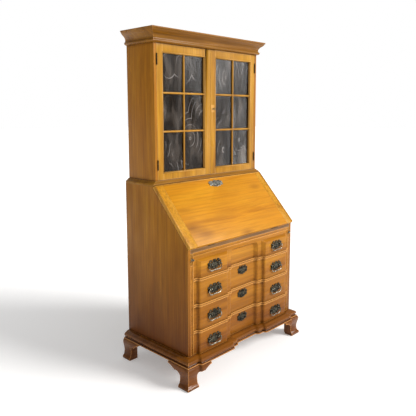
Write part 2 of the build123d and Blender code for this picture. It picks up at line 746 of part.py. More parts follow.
def door_frame():
    """The right door's frame before its lock is let in: two stiles, then two rails between them."""
    frame = board(DOOR_X, DOOR_Y, DOOR_Z) - sight_opening()
    frame -= board((STILE_IN, STILE_OUT), (GLASS_Y, DOOR_Y[1] + 1), (GLASS_LOW, GLASS_TOP))
    for pocket in door_mortises(False):
        frame -= pocket
    parts = [(DOOR_X[0], STILE_IN, DOOR_Z), (STILE_OUT, DOOR_X[1], DOOR_Z),
             (STILE_IN, STILE_OUT, (DOOR_LOW, (GLASS_LOW + GLASS_TOP) / 2)),
             (STILE_IN, STILE_OUT, ((GLASS_LOW + GLASS_TOP) / 2, DOOR_TOP))]
    return [frame & board((low, high), DOOR_Y, z) for low, high, z in parts]


def left_door_frame():
    """The left door's frame, with the mortise that takes the lock's bolt."""
    inner, outer, low, top = [mirrored(piece) for piece in door_frame()]
    strike = board((-10, 0), (DOOR_BOLT_Y[0] - 0.5, DOOR_BOLT_Y[1] + 0.5),
                   (DOOR_BOLT_Z[0] - 0.5, DOOR_BOLT_Z[1] + 0.5))
    return [inner - strike, outer, low, top]


LOCK_CASE_X = (8.0, 36.0)
LOCK_CASE_Z = (1440.0, 1482.0)


def bolt_slot(x):
    """The slot that the door's bolt slides in."""
    return board(x, (DOOR_BOLT_Y[0] - SLIDE_GAP, DOOR_BOLT_Y[1] + SLIDE_GAP),
                 (DOOR_BOLT_Z[0] - SLIDE_GAP, DOOR_BOLT_Z[1] + SLIDE_GAP))


def right_door_frame():
    """The right door's frame, with the lock's pocket, its keyhole and its bolt's slot."""
    inner, outer, low, top = door_frame()
    inner -= board(LOCK_CASE_X, LOCK_Y, LOCK_CASE_Z)
    inner -= bolt_slot((0, LOCK_CASE_X[0] + 1))
    inner -= rod((KEY_X, CASE2_Y - 1, KEY_Z), (0, 1, 0), 3, 8)
    return [inner, outer, low, top]


def door_lock():
    """The case of the door's lock, hollow round the key."""
    case = board(LOCK_CASE_X, LOCK_Y, LOCK_CASE_Z)
    case -= rod((KEY_X, LOCK_Y[0] + 1, KEY_Z), (0, 1, 0), CHAMBER_R, LOCK_Y[1] - LOCK_Y[0] - 2)
    case -= rod((KEY_X, LOCK_Y[0] - 1, KEY_Z), (0, 1, 0), 2.4, 3)
    return case - bolt_slot((LOCK_CASE_X[0] - 1, LOCK_CASE_X[1] - 2))


def door_bolt():
    """The bolt, drawn back flush with the door's edge."""
    return board((1.5, 26.0), DOOR_BOLT_Y, DOOR_BOLT_Z)


def door_key():
    """The key: a stem, a bit inside the lock, and a ring to turn it by."""
    stem = rod((KEY_X, 289, KEY_Z), (0, -1, 0), 1.8, 21)
    bit = board((KEY_X, KEY_X + 6.3), (283.5, 287.5), (KEY_Z - 1, KEY_Z + 1))
    ring = extrude(Circle(7.5) - Circle(4.5), 2)
    bow = Plane(origin=(KEY_X - 1, 262.5, KEY_Z), x_dir=(0, 1, 0), z_dir=(1, 0, 0)) * ring
    return stem + bit + bow


def muntins():
    """The right door's glazing bars, cross-lapped into one grid with tongues between the panes."""
    opening = sight_opening()
    face = MUNTIN_W * 0.55
    vertical = loft([facing(MUNTIN_X, CASE2_Y + 3, 1430) * Rectangle(face, 800),
                     facing(MUNTIN_X, GLASS_Y, 1430) * Rectangle(MUNTIN_W, 800)], ruled=True)
    tongue_y = (GLASS_Y, GLASS_Y + 7)
    bars = vertical & opening
    bars += board((MUNTIN_X - TONGUE / 2, MUNTIN_X + TONGUE / 2), tongue_y, (GLASS_LOW, GLASS_TOP))
    for z in MUNTINS_Z:
        bar = loft([facing(MUNTIN_X, CASE2_Y + 3, z) * Rectangle(400, face),
                    facing(MUNTIN_X, GLASS_Y, z) * Rectangle(400, MUNTIN_W)], ruled=True)
        bars += bar & opening
        bars += board((STILE_IN, STILE_OUT), tongue_y, (z - TONGUE / 2, z + TONGUE / 2))
    return bars


def panes():
    """The right door's six panes, each in its own rabbet."""
    edge = TONGUE / 2 + PANE_GAP
    columns = [(STILE_IN + PANE_GAP, MUNTIN_X - edge), (MUNTIN_X + edge, STILE_OUT - PANE_GAP)]
    levels = [GLASS_LOW + PANE_GAP - edge] + MUNTINS_Z + [GLASS_TOP - PANE_GAP + edge]
    rows = [(low + edge, high - edge) for low, high in zip(levels, levels[1:])]
    return [board(x, (GLASS_Y, GLASS_Y + GLASS_T), z) for x in columns for z in rows]


# --- The nodes --------------------------------------------------------------------------------

os.makedirs("parts", exist_ok=True)

right_side = case_side()
save("case_sides", right_side, mirrored(right_side))
save("case_back", board((-IN_X, IN_X), (CASE_D - BACK_T, CASE_D), (FOOT_TOP, DESK_TOP)))
save("case_bottom", board((-IN_X, IN_X), (FRONT_BACK, CASE_D - BACK_T), (BASE_TOP - BOARD, BASE_TOP)))
save("desk_top_board", top_board() - strike_pocket())
save("writing_board", writing_board())
save("front_rails", *front_rails())
save("drawer_runners", *runners())
save("base_moulding", base_moulding())
left_feet = [front_foot(), rear_foot()]
save("bracket_feet", *left_feet, *[mirrored(foot) for foot in left_feet])
save("waist_moulding", wrapped_moulding(WAIST_PROFILE) - strike_pocket())
save("gallery_case", *gallery_case())

right_bookcase_side = bookcase_side()
save("bookcase_sides", right_bookcase_side, mirrored(right_bookcase_side))
save("bookcase_ends", *bookcase_ends())
save("bookcase_back", board((-CASE2_IN, CASE2_IN), (CASE_D - BACK_T, CASE_D), (CASE2_LOW, SIDE_TOP)))
save("bookcase_shelves", *shelves())
save("cornice", wrapped_moulding([(reach, reach, z) for reach, z in CORNICE_PROFILE]))
fixed_leaves = door_leaves(True)
save("door_hinge_posts", *fixed_leaves, *[mirrored(leaf) for leaf in fixed_leaves])
save("lid_hinge_posts", *lid_leaves(True))

swinging_leaves = door_leaves(False)
right_muntins = muntins()
right_panes = panes()
save("right_door_frame", *right_door_frame())
save("right_door_muntins", right_muntins)
save("right_door_panes", *right_panes)
save("right_door_hinge_leaves", *swinging_leaves)
save("right_door_lock", door_lock())
save("door_lock_bolt", door_bolt())
save("door_key", door_key())
save("left_door_frame", *left_door_frame())
save("left_door_muntins", mirrored(right_muntins))
save("left_door_panes", *[mirrored(pane) for pane in right_panes])
save("left_door_hinge_leaves", *[mirrored(leaf) for leaf in swinging_leaves])

save("lid_panel", lid_panel())
save("lid_breadboard_ends", lid_end(), mirrored(lid_end()))
save("lid_escutcheon_and_lock", *lid_brass())
save("lid_hinge_leaves", *lid_leaves(False))
save("lid_lock_bolt", lid_bolt())

save("loper_right", loper())
save("loper_right_knob", loper_knob())
save("loper_left", mirrored(loper()))
save("loper_left_knob", mirrored(loper_knob()))

for index in range(len(OPENINGS_Z)):
    drawer = f"drawer_{len(OPENINGS_Z) - index}"
    save(f"{drawer}_front", drawer_front(index))
    save(f"{drawer}_box", *drawer_box(index))
    save(f"{drawer}_pull_plates", *pull_plates(index))
    for side_name, side_sign in SIDES.items():
        save(f"{drawer}_bail_{side_name}", bail(side_sign, index))

save("gallery_drawer_right", *gallery_drawer())
save("gallery_drawer_left", *[mirrored(piece) for piece in gallery_drawer()])
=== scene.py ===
import json
import math

import bmesh
import bpy
from mathutils import Matrix, Vector, noise

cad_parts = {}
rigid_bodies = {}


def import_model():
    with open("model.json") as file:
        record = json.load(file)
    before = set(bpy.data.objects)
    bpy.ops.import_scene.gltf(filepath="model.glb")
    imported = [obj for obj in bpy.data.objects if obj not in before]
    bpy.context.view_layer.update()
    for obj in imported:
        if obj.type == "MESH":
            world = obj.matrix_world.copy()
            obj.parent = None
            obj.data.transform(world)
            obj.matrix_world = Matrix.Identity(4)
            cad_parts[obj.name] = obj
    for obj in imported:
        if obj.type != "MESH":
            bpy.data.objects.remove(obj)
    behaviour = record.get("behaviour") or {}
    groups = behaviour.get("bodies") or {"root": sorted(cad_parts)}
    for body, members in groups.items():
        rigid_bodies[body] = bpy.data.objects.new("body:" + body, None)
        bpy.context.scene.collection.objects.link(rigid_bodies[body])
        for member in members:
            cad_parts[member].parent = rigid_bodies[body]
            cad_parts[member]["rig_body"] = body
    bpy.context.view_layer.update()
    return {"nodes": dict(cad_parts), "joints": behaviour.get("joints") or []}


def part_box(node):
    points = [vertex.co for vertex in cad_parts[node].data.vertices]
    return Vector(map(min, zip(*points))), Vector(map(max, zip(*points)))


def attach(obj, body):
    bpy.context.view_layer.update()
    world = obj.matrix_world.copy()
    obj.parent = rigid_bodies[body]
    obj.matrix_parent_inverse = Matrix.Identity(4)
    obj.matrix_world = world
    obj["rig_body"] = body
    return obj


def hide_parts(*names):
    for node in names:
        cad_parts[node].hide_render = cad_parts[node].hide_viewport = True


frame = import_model()

# ---- Where the desk stands and is seen from --------------------------------------------------
# A pale floor without seams runs off into a pale surround. The eye stands in front of the desk
# and well to its left, at about the height of the bookcase doors' foot.

EYE = (-2.2009, -2.0344, 1.4363)
EYE_TURN = math.radians(46.2465)
EYE_DIP = math.radians(7.9896)
LENS_MM = 43.844
SENSOR_MM = 36
FRAMING_SHIFT = -0.05824

camera_data = bpy.data.cameras.new("viewpoint")
camera_data.lens = LENS_MM
camera_data.sensor_width = SENSOR_MM
camera_data.shift_y = FRAMING_SHIFT
camera = bpy.data.objects.new("viewpoint", camera_data)
bpy.context.scene.collection.objects.link(camera)
camera.location = EYE
camera.rotation_euler = (math.pi / 2 - EYE_DIP, 0, -EYE_TURN)
bpy.context.scene.camera = camera
bpy.context.scene.view_settings.view_transform = "Standard"


def new_piece(name, shape):
    """Turns a finished bmesh into an object and lets go of the bmesh."""
    mesh = bpy.data.meshes.new(name)
    shape.to_mesh(mesh)
    shape.free()
    piece = bpy.data.objects.new(name, mesh)
    bpy.context.scene.collection.objects.link(piece)
    return piece


def new_material(name):
    """An empty material: its main shader, its node tree and a function that adds linked nodes."""
    material = bpy.data.materials.new(name)
    material.use_nodes = True
    tree = material.node_tree

    def node(kind, inputs=None, **settings):
        made = tree.nodes.new("ShaderNode" + kind)
        for key, value in settings.items():
            setattr(made, key, value)
        for key, value in (inputs or {}).items():
            if isinstance(value, bpy.types.NodeSocket):
                tree.links.new(value, made.inputs[key])
            else:
                made.inputs[key].default_value = value
        return made

    return material, tree.nodes["Principled BSDF"], tree, node


FLOOR_HALF = 40
SURROUND_R = 52
SUN_AIM = (-0.42, 0.74, -0.52)
SUN_WIDTH = math.radians(24)

floor_shape = bmesh.new()
bmesh.ops.create_grid(floor_shape, x_segments=8, y_segments=8, size=FLOOR_HALF)
floor = new_piece("studio_floor", floor_shape)
floor_finish, shader, tree, node = new_material("pale_floor")
speckle = node("TexNoise", {"Scale": 3.0, "Detail": 6.0})
tone = node("MapRange", {"Value": speckle.outputs["Fac"], "To Min": 0.88, "To Max": 0.91})
tree.links.new(tone.outputs["Result"], shader.inputs["Base Color"])
# The floor glows by itself, less near the desk and more further off: painted light that lightens the
# desk's shadow on it and whitens the far floor.
reach = node("VectorMath", {0: node("TexCoord").outputs["Object"]}, operation="LENGTH")
glow = node("MapRange", {"Value": reach.outputs["Value"], "From Min": 0.7, "From Max": 2.6,
                         "To Min": 0.25, "To Max": 0.40})
shader.inputs["Emission Color"].default_value = (1, 1, 1, 1)
tree.links.new(glow.outputs["Result"], shader.inputs["Emission Strength"])
shader.inputs["Roughness"].default_value = 0.8
shader.inputs["Specular IOR Level"].default_value = 0.1
floor.data.materials.append(floor_finish)

surround_shape = bmesh.new()
bmesh.ops.create_uvsphere(surround_shape, u_segments=48, v_segments=24, radius=SURROUND_R)
surround = new_piece("studio_surround", surround_shape)
surround_finish, shader, tree, node = new_material("pale_surround")
shader.inputs["Base Color"].default_value = (0, 0, 0, 1)
shader.inputs["Specular IOR Level"].default_value = 0.0
shader.inputs["Emission Color"].default_value = (1, 1, 1, 1)
shader.inputs["Emission Strength"].default_value = 1.0
surround.data.materials.append(surround_finish)
surround.visible_diffuse = False
surround.visible_glossy = False
surround.visible_transmission = False
surround.visible_shadow = False

world = bpy.data.worlds.new("soft_room")
world.use_nodes = True
world.node_tree.nodes["Background"].inputs["Color"].default_value = (1.0, 0.99, 0.985, 1)
world.node_tree.nodes["Background"].inputs["Strength"].default_value = 0.40
bpy.context.scene.world = world

sun_data = bpy.data.lights.new("broad_key", "SUN")
sun_data.energy = 3.4
sun_data.angle = SUN_WIDTH
sun_data.color = (1.0, 0.985, 0.965)
sun = bpy.data.objects.new("broad_key", sun_data)
bpy.context.scene.collection.objects.link(sun)
sun.rotation_euler = Vector(SUN_AIM).to_track_quat("-Z", "Y").to_euler()


def soft_box(name, place, aim, width, height, power):
    """A soft box, turned to shine on a point."""
    light = bpy.data.lights.new(name, "AREA")
    light.shape = "RECTANGLE"
    light.size = width
    light.size_y = height
    light.energy = power
    lamp = bpy.data.objects.new(name, light)
    bpy.context.scene.collection.objects.link(lamp)
    lamp.location = place
    lamp.rotation_euler = (Vector(aim) - Vector(place)).to_track_quat("-Z", "Y").to_euler()


soft_box("window_box", (3.5, -3.1, 2.3), (0, 0, 1.3), 0.8, 1.3, 22)
soft_box("low_strip", (3.0, -2.2, 1.0), (0, 0, 1.2), 0.25, 1.2, 6)

# ---- Case boards -----------------------------------------------------------------------------
# The sides, top and inner boards are solid maple, planed, stained honey brown and shellacked.
# The grain runs up the sides and along the cross boards; a hand has eased every edge.


def old_maple(name, grain, dark, mid, light, blotch=0.45, sheen=0.40, fine=1.0, knots=0.0, grime_and_shade=0.8,
              foot_tone=(0.42, 0.30, 0.20), wear_and_glint=0.5):
    """Aged wood under thin shellac: streaks, pores, blotches, grimy hollows and gaps darkened further by
    painted shade, edges lightened partly by wear and partly by painted highlight.

    It darkens towards the floor by foot_tone; grain is the axis that the fibres run along.
    """
    material, shader, tree, node = new_material(name)
    spot = node("TexCoord").outputs["Object"]

    def along(long_scale, cross_scale):
        scale = [cross_scale] * 3
        scale["XYZ".index(grain)] = long_scale
        return node("Mapping", {"Vector": spot, "Scale": scale}).outputs["Vector"]

    sway = node("TexNoise", {"Vector": along(1.1, 3.2), "Scale": 1.0, "Detail": 2.0})
    swayed = node("VectorMath", {0: sway.outputs["Color"], 1: (1.4, 1.4, 1.4)}, operation="MULTIPLY")
    bent = node("VectorMath", {0: along(0.8, 17.0), 1: swayed.outputs["Vector"]}, operation="ADD")
    rings = node("TexNoise", {"Vector": bent.outputs["Vector"], "Scale": 1.0, "Detail": 8.0,
                              "Roughness": 0.66})
    streaks = node("TexNoise", {"Vector": along(3.4, 95.0), "Scale": 1.0, "Detail": 5.0,
                                "Roughness": 0.65})
    pores = node("TexNoise", {"Vector": along(24.0, 700.0), "Scale": 1.0, "Detail": 2.0})
    cloud = node("TexNoise", {"Vector": along(2.0, 4.2), "Scale": 1.0, "Detail": 4.0, "Distortion": 0.8})
    ramp = node("ValToRGB", {"Fac": rings.outputs["Fac"]})
    stops = ramp.color_ramp.elements
    stops[0].position, stops[0].color = 0.31, (*dark, 1)
    stops[1].position, stops[1].color = 0.68, (*light, 1)
    middle = stops.new(0.46)
    middle.color = (*mid, 1)
    line = node("MapRange", {"Value": streaks.outputs["Fac"], "From Min": 0.36, "From Max": 0.60,
                             "To Min": 1.0 - 0.34 * fine, "To Max": 1.06})
    lined = node("MixRGB", {"Fac": 0.9, "Color1": ramp.outputs["Color"],
                            "Color2": line.outputs["Result"]}, blend_type="MULTIPLY")
    patch = node("MapRange", {"Value": cloud.outputs["Fac"], "From Min": 0.38, "From Max": 0.68,
                              "To Min": 0.0, "To Max": blotch})
    stained = node("MixRGB", {"Fac": patch.outputs["Result"], "Color1": lined.outputs["Color"],
                              "Color2": (*dark, 1)})
    colour = stained.outputs["Color"]
    if knots:
        cells = node("TexVoronoi", {"Vector": along(3.0, 7.0), "Scale": 1.0}, feature="SMOOTH_F1")
        eye = node("MapRange", {"Value": cells.outputs["Distance"], "From Min": 0.02, "From Max": 0.22,
                                "To Min": knots, "To Max": 0.0})
        knot_tone = (dark[0] * 0.45, dark[1] * 0.4, dark[2] * 0.4, 1)
        colour = node("MixRGB", {"Fac": eye.outputs["Result"], "Color1": colour,
                                 "Color2": knot_tone}).outputs["Color"]
    # Darker towards the floor, by foot_tone, set by height alone.
    height_up = node("SeparateXYZ", {"Vector": spot}).outputs["Z"]
    floor_ramp = node("MapRange", {"Value": height_up, "From Min": 0.05, "From Max": 0.78})
    floor_darkening = node("MixRGB", {"Fac": floor_ramp.outputs["Result"], "Color1": (*foot_tone, 1),
                           "Color2": (1, 1, 1, 1)})
    colour = node("MixRGB", {"Fac": 1.0, "Color1": colour, "Color2": floor_darkening.outputs["Color"]},
                  blend_type="MULTIPLY").outputs["Color"]
    # Hollows, recesses and gaps between parts are mixed towards a near-black brown by ambient occlusion:
    # some grime, mostly painted shade.
    hollow = node("AmbientOcclusion", {"Distance": 0.016}, samples=6)
    grime_shade_mask = node("MapRange", {"Value": hollow.outputs["AO"], "From Min": 0.40, "From Max": 0.90,
                             "To Min": grime_and_shade, "To Max": 0.0})
    grimed_and_shaded = node("MixRGB", {"Fac": grime_shade_mask.outputs["Result"], "Color1": colour,
                             "Color2": (dark[0] * 0.14, dark[1] * 0.09, dark[2] * 0.05, 1)})
    # Convex edges are mixed towards a pale, nearly white tone: partly rubbed wear, mostly painted
    # highlight on the arrises.
    rim = node("AmbientOcclusion", {"Distance": 0.006}, samples=6, inside=True, only_local=True)
    wear_glint_mask = node("MapRange", {"Value": rim.outputs["AO"], "From Min": 0.88, "From Max": 0.55,
                               "To Min": 0.0, "To Max": wear_and_glint})
    wear_glint_tone = (min(1, light[0] * 1.35), light[1] * 1.45, light[2] * 3.0 + 0.03, 1)
    edged = node("MixRGB", {"Fac": wear_glint_mask.outputs["Result"], "Color1": grimed_and_shaded.outputs["Color"],
                            "Color2": wear_glint_tone})
    tree.links.new(edged.outputs["Color"], shader.inputs["Base Color"])
    gloss = node("MapRange", {"Value": cloud.outputs["Fac"], "From Min": 0.3, "From Max": 0.7,
                              "To Min": sheen - 0.06, "To Max": sheen + 0.12})
    tree.links.new(gloss.outputs["Result"], shader.inputs["Roughness"])
    height = node("Math", {0: pores.outputs["Fac"], 1: streaks.outputs["Fac"]}, operation="ADD")
    bump = node("Bump", {"Height": height.outputs["Value"], "Strength": 0.22, "Distance": 0.0008})
    tree.links.new(bump.outputs["Normal"], shader.inputs["Normal"])
    shader.inputs["Coat Weight"].default_value = 0.06
    shader.inputs["Coat Roughness"].default_value = 0.2
    shader.inputs["Specular IOR Level"].default_value = 0.14
    return material


EASE_ANGLE = math.radians(26)
CREASE_ANGLE = math.radians(38)
MERGE_GAP = 0.00002


def planed(node_name, finish, ease=0.0012, rounds=2):
    """Stands a hand-eased copy in a board's place: the same shape with its sharp edges rounded."""
    body = frame["nodes"][node_name]["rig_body"]
    shape = bmesh.new()
    shape.from_mesh(frame["nodes"][node_name].data)
    bmesh.ops.remove_doubles(shape, verts=shape.verts, dist=MERGE_GAP)
    sharp = [edge for edge in shape.edges
             if len(edge.link_faces) == 2 and edge.calc_face_angle(0) > EASE_ANGLE]
    bmesh.ops.bevel(shape, geom=sharp, offset=ease, offset_type="OFFSET", affect="EDGES",
                    segments=rounds, profile=0.5, material=-1, clamp_overlap=True)
    bmesh.ops.recalc_face_normals(shape, faces=shape.faces)
    piece = new_piece(node_name + "_planed", shape)
    piece.data.shade_smooth()
    piece.data.set_sharp_from_angle(angle=CREASE_ANGLE)
    piece.data.materials.append(finish)
    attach(piece, body)
    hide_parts(node_name)


def finish_node(node_name, finish):
    """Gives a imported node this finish."""
    packed = frame["nodes"][node_name]
    packed.data.materials.clear()
    packed.data.materials.append(finish)


case_maple = old_maple("case_maple", "Z", (0.25, 0.084, 0.003), (0.35, 0.132, 0.005),
                       (0.42, 0.178, 0.009), knots=0.4, fine=0.9, foot_tone=(0.30, 0.16, 0.08))
cross_maple = old_maple("cross_maple", "X", (0.20, 0.078, 0.004), (0.31, 0.132, 0.007),
                        (0.38, 0.178, 0.012), wear_and_glint=0.8)
# The cornice's maple is painted about half as light as the cross boards: painted shade on the cornice.
cornice_maple_shaded = old_maple("cornice_maple_shaded", "X", (0.13, 0.048, 0.003), (0.23, 0.090, 0.005),
                          (0.30, 0.130, 0.010), sheen=0.34, grime_and_shade=1.0, wear_and_glint=0.9)
poplar = old_maple("poplar", "Y", (0.24, 0.15, 0.07), (0.40, 0.27, 0.13), (0.50, 0.36, 0.19), grime_and_shade=0.4)
inner_maple = old_maple("inner_maple", "X", (0.10, 0.045, 0.012), (0.20, 0.100, 0.028),
                        (0.27, 0.145, 0.045))

planed("case_sides", case_maple)
planed("desk_top_board", cross_maple)
planed("writing_board", inner_maple)
back_boards = old_maple("back_boards", "X", (0.16, 0.095, 0.040), (0.28, 0.175, 0.075), (0.36, 0.24, 0.11),
                        grime_and_shade=0.5, knots=0.5)
finish_node("drawer_runners", poplar)
for board in ("case_back", "case_bottom"):
    finish_node(board, back_boards)

# ---- Base moulding and bracket feet ----------------------------------------------------------
# Run with moulding planes and mitred round the front and sides; the noses are lightened in colour, partly
# as wear and partly as painted highlight.
# The ogee feet are sawn brackets glued up under it; the front ones carry the block.

base_maple = old_maple("base_maple", "X", (0.22, 0.074, 0.004), (0.40, 0.150, 0.009), (0.52, 0.220, 0.020),
                       sheen=0.22, grime_and_shade=0.8, foot_tone=(0.36, 0.26, 0.19), wear_and_glint=0.8)
base_maple.node_tree.nodes["Principled BSDF"].inputs["Coat Weight"].default_value = 0.16
planed("base_moulding", base_maple, ease=0.0009)
planed("bracket_feet", base_maple, ease=0.0012)

# ---- Front rails, blades and beads -----------------------------------------------------------
# Between the drawers run shaped blades, each with two rounded beads and a hollow between them.
# A thin cock bead runs up both stiles beside the drawers and along under the top rail.

rail_maple = old_maple("rail_maple", "X", (0.20, 0.068, 0.003), (0.38, 0.148, 0.007), (0.50, 0.215, 0.014),
                       sheen=0.26, grime_and_shade=1.0, wear_and_glint=0.9)
planed("front_rails", rail_maple, ease=0.0024, rounds=3)

BEAD_R = 0.0019
BEAD_PROUD = 0.0006
DRAWER_GAP = 0.001
case_face_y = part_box("case_sides")[0].y
opening_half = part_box("drawer_1_front")[1].x + DRAWER_GAP + BEAD_R
opening_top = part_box("drawer_1_front")[1].z + DRAWER_GAP + BEAD_R
opening_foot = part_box("drawer_4_front")[0].z - DRAWER_GAP


def add_bead(shape, start, end, radius):
    """Adds one round bead between two points, closed at both ends."""
    run = Vector(end) - Vector(start)
    turn = run.to_track_quat("Z", "Y").to_matrix().to_4x4()
    centre = (Vector(start) + Vector(end)) / 2
    bmesh.ops.create_cone(shape, cap_ends=True, segments=14, radius1=radius, radius2=radius,
                          depth=run.length, matrix=Matrix.Translation(centre) @ turn)


bead_y = case_face_y - BEAD_PROUD
bead_shape = bmesh.new()
for side in (-1, 1):
    add_bead(bead_shape, (side * opening_half, bead_y, opening_foot),
             (side * opening_half, bead_y, opening_top), BEAD_R)
add_bead(bead_shape, (-opening_half, bead_y, opening_top), (opening_half, bead_y, opening_top), BEAD_R)
cock_beads = new_piece("cock_beads", bead_shape)
cock_beads.data.shade_smooth()
cock_beads.data.materials.append(rail_maple)
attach(cock_beads, "case")

# ---- Drawers ---------------------------------------------------------------------------------
# Each front is cut from one thick maple board to the block plan; the boxes are plain poplar,
# and the top drawer's blocks and sunk middle stop short of its upper edge.

drawer_maple = old_maple("drawer_maple", "X", (0.26, 0.088, 0.003), (0.43, 0.168, 0.007),
                         (0.56, 0.245, 0.014), sheen=0.34, grime_and_shade=1.0, fine=0.7, wear_and_glint=0.45)
for number in (1, 2, 3, 4):
    planed(f"drawer_{number}_front", drawer_maple, ease=0.0028, rounds=3)
    finish_node(f"drawer_{number}_box", poplar)

# ---- Pull brasses ----------------------------------------------------------------------------
# Cast and pierced bat-wing plates, held by two posts whose bored balls carry a drop bail.
# The plates' brass is nearly black with small brighter patches, and the bails are brighter brass.


def old_brass(name, dark, bright, rough):
    """Old cast brass: dark tarnish and brighter metal in random patches, with fine pitting."""
    material, shader, tree, node = new_material(name)
    spot = node("TexCoord").outputs["Object"]
    tarnish = node("TexNoise", {"Vector": spot, "Scale": 85.0, "Detail": 5.0, "Roughness": 0.65})
    ramp = node("ValToRGB", {"Fac": tarnish.outputs["Fac"]})
    stops = ramp.color_ramp.elements
    stops[0].position, stops[0].color = 0.42, (*dark, 1)
    stops[1].position, stops[1].color = 0.60, (*bright, 1)
    tree.links.new(ramp.outputs["Color"], shader.inputs["Base Color"])
    shader.inputs["Metallic"].default_value = 0.9
    gloss = node("MapRange", {"Value": tarnish.outputs["Fac"], "To Min": rough + 0.20,
                              "To Max": rough - 0.1})
    tree.links.new(gloss.outputs["Result"], shader.inputs["Roughness"])
    pits = node("TexNoise", {"Vector": spot, "Scale": 420.0, "Detail": 3.0})
    bump = node("Bump", {"Height": pits.outputs["Fac"], "Strength": 0.3, "Distance": 0.0005})
    tree.links.new(bump.outputs["Normal"], shader.inputs["Normal"])
    return material


plate_brass = old_brass("plate_brass", (0.012, 0.012, 0.008), (0.10, 0.09, 0.06), rough=0.32)
bail_brass = old_brass("bail_brass", (0.06, 0.06, 0.045), (0.50, 0.48, 0.39), rough=0.28)

WING_OUTLINE = [(0, 20), (5, 28), (11, 25), (12, 11), (17, 10), (20, 20), (28, 27), (37, 24), (40, 16),
                (37, 10), (44, 10), (51, 14), (52, 4), (46, 0), (51, -5), (49, -14), (41, -19), (35, -13),
                (32, -8), (28, -22), (20, -25), (16, -13), (12, -27), (5, -25), (0, -30)]
WING_HOLES = [(28, 14, 6.4, 6.2), (44, 3, 4.4, 2.8), (24, -10, 4.6, 8.0), (42, -10, 4.6, 3.8),
              (6, 16, 2.8, 6.6), (6, -15, 2.8, 6.6)]
KEYHOLE = [(0, 5), (2.2, 3.4), (2.0, 0.8), (1.2, -0.6), (1.5, -6), (-1.5, -6), (-1.2, -0.6),
           (-2.0, 0.8), (-2.2, 3.4)]
DRAWN_WIDTH, DRAWN_HEIGHT = 104, 60
OVAL_TURNS = (0, 1.05, 2.09, 3.14, 4.19, 5.24)
PLATE_T = 0.0022
MM = 0.001


def mesh_of(drawn):
    """Turns a drawn curve into a bmesh and lets go of the curve's object."""
    line = bpy.data.objects.new(drawn.name + "_drawn", drawn)
    bpy.context.scene.collection.objects.link(line)
    mesh = bpy.data.meshes.new_from_object(line.evaluated_get(bpy.context.evaluated_depsgraph_get()))
    bpy.data.objects.remove(line)
    shape = bmesh.new()
    shape.from_mesh(mesh)
    bpy.data.meshes.remove(mesh)
    return shape


def pierced_plate(name, width, height, keyhole=False):
    """A pierced brass plate of a size in mm, cut flat from the bat-wing outline with Y up."""
    drawn = bpy.data.curves.new(name, "CURVE")
    drawn.dimensions = "2D"
    drawn.fill_mode = "BOTH"
    drawn.extrude = PLATE_T / 2
    drawn.bevel_depth = PLATE_T * 0.35
    drawn.bevel_resolution = 1
    drawn.resolution_u = 5
    wide, tall = width / DRAWN_WIDTH, height / DRAWN_HEIGHT
    half = [(x * wide, y * tall) for x, y in WING_OUTLINE]
    loops = [half + [(-x, y) for x, y in reversed(half[1:-1])]]
    for x, y, across, up in WING_HOLES:
        for side in (-1, 1):
            loops.append([(side * x * wide + across * wide * math.cos(turn),
                           y * tall + up * tall * math.sin(turn)) for turn in OVAL_TURNS])
    if keyhole:
        loops.append(KEYHOLE)
    for points in loops:
        spline = drawn.splines.new("BEZIER")
        spline.use_cyclic_u = True
        spline.bezier_points.add(len(points) - 1)
        for knot, (x, y) in zip(spline.bezier_points, points):
            knot.co = (x * MM, y * MM, 0)
            knot.handle_left_type = knot.handle_right_type = "AUTO"
    return mesh_of(drawn)


UPRIGHT = Matrix.Rotation(math.pi / 2, 4, "X")
BRASS_CREASE = math.radians(40)
PLATE_SINK = 0.7
KEYHOLE_DROP = 0.034
POST_X = 0.036
POST_RINGS = [(0.0, 0.0062), (0.0012, 0.0066), (0.0022, 0.0050), (0.0028, 0.0032), (0.0042, 0.0030),
              (0.0052, 0.0040), (0.0075, 0.0054), (0.0100, 0.0058), (0.0125, 0.0050), (0.0140, 0.0030),
              (0.0146, 0.0)]


def add_turned(shape, place, rings):
    """Adds a turned part whose axis runs straight out of the desk's front."""
    x, y, z = place
    points = [shape.verts.new((x + radius, y - out, z)) for out, radius in rings]
    edges = [shape.edges.new(pair) for pair in zip(points, points[1:])]
    bmesh.ops.spin(shape, geom=points + edges, cent=(x, y, z), axis=(0, 1, 0), angle=math.tau,
                   steps=20, use_merge=True)


def add_copy(target, source, place):
    """Copies one bmesh into another at a place."""
    mesh = bpy.data.meshes.new("stamp")
    source.to_mesh(mesh)
    mesh.transform(place)
    target.from_mesh(mesh)
    bpy.data.meshes.remove(mesh)


pull_plate = pierced_plate("pull_plate", 100, 55)
key_plate = pierced_plate("key_plate", 80, 52, keyhole=True)
pivots = {joint["child"]: Vector(joint["pos_m"]) for joint in frame["joints"] if "pos_m" in joint}
block_face_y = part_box("drawer_4_front")[0].y
recess_y = case_face_y + (case_face_y - block_face_y)
BAIL_PATH = [(-0.0290, 0.0), (-0.0360, 0.0002), (-0.0440, -0.0010), (-0.0475, -0.0085),
             (-0.0465, -0.0180), (-0.0400, -0.0265), (-0.0290, -0.0305), (-0.0150, -0.0300),
             (0.0, -0.0285)]
BAIL_SWELL = [0.85, 0.85, 0.95, 1.0, 1.05, 1.15, 1.3, 1.1, 1.25]
BAIL_R = 0.0023
BAIL_END_X = 0.0290
BAIL_KNOB_R = 0.0036

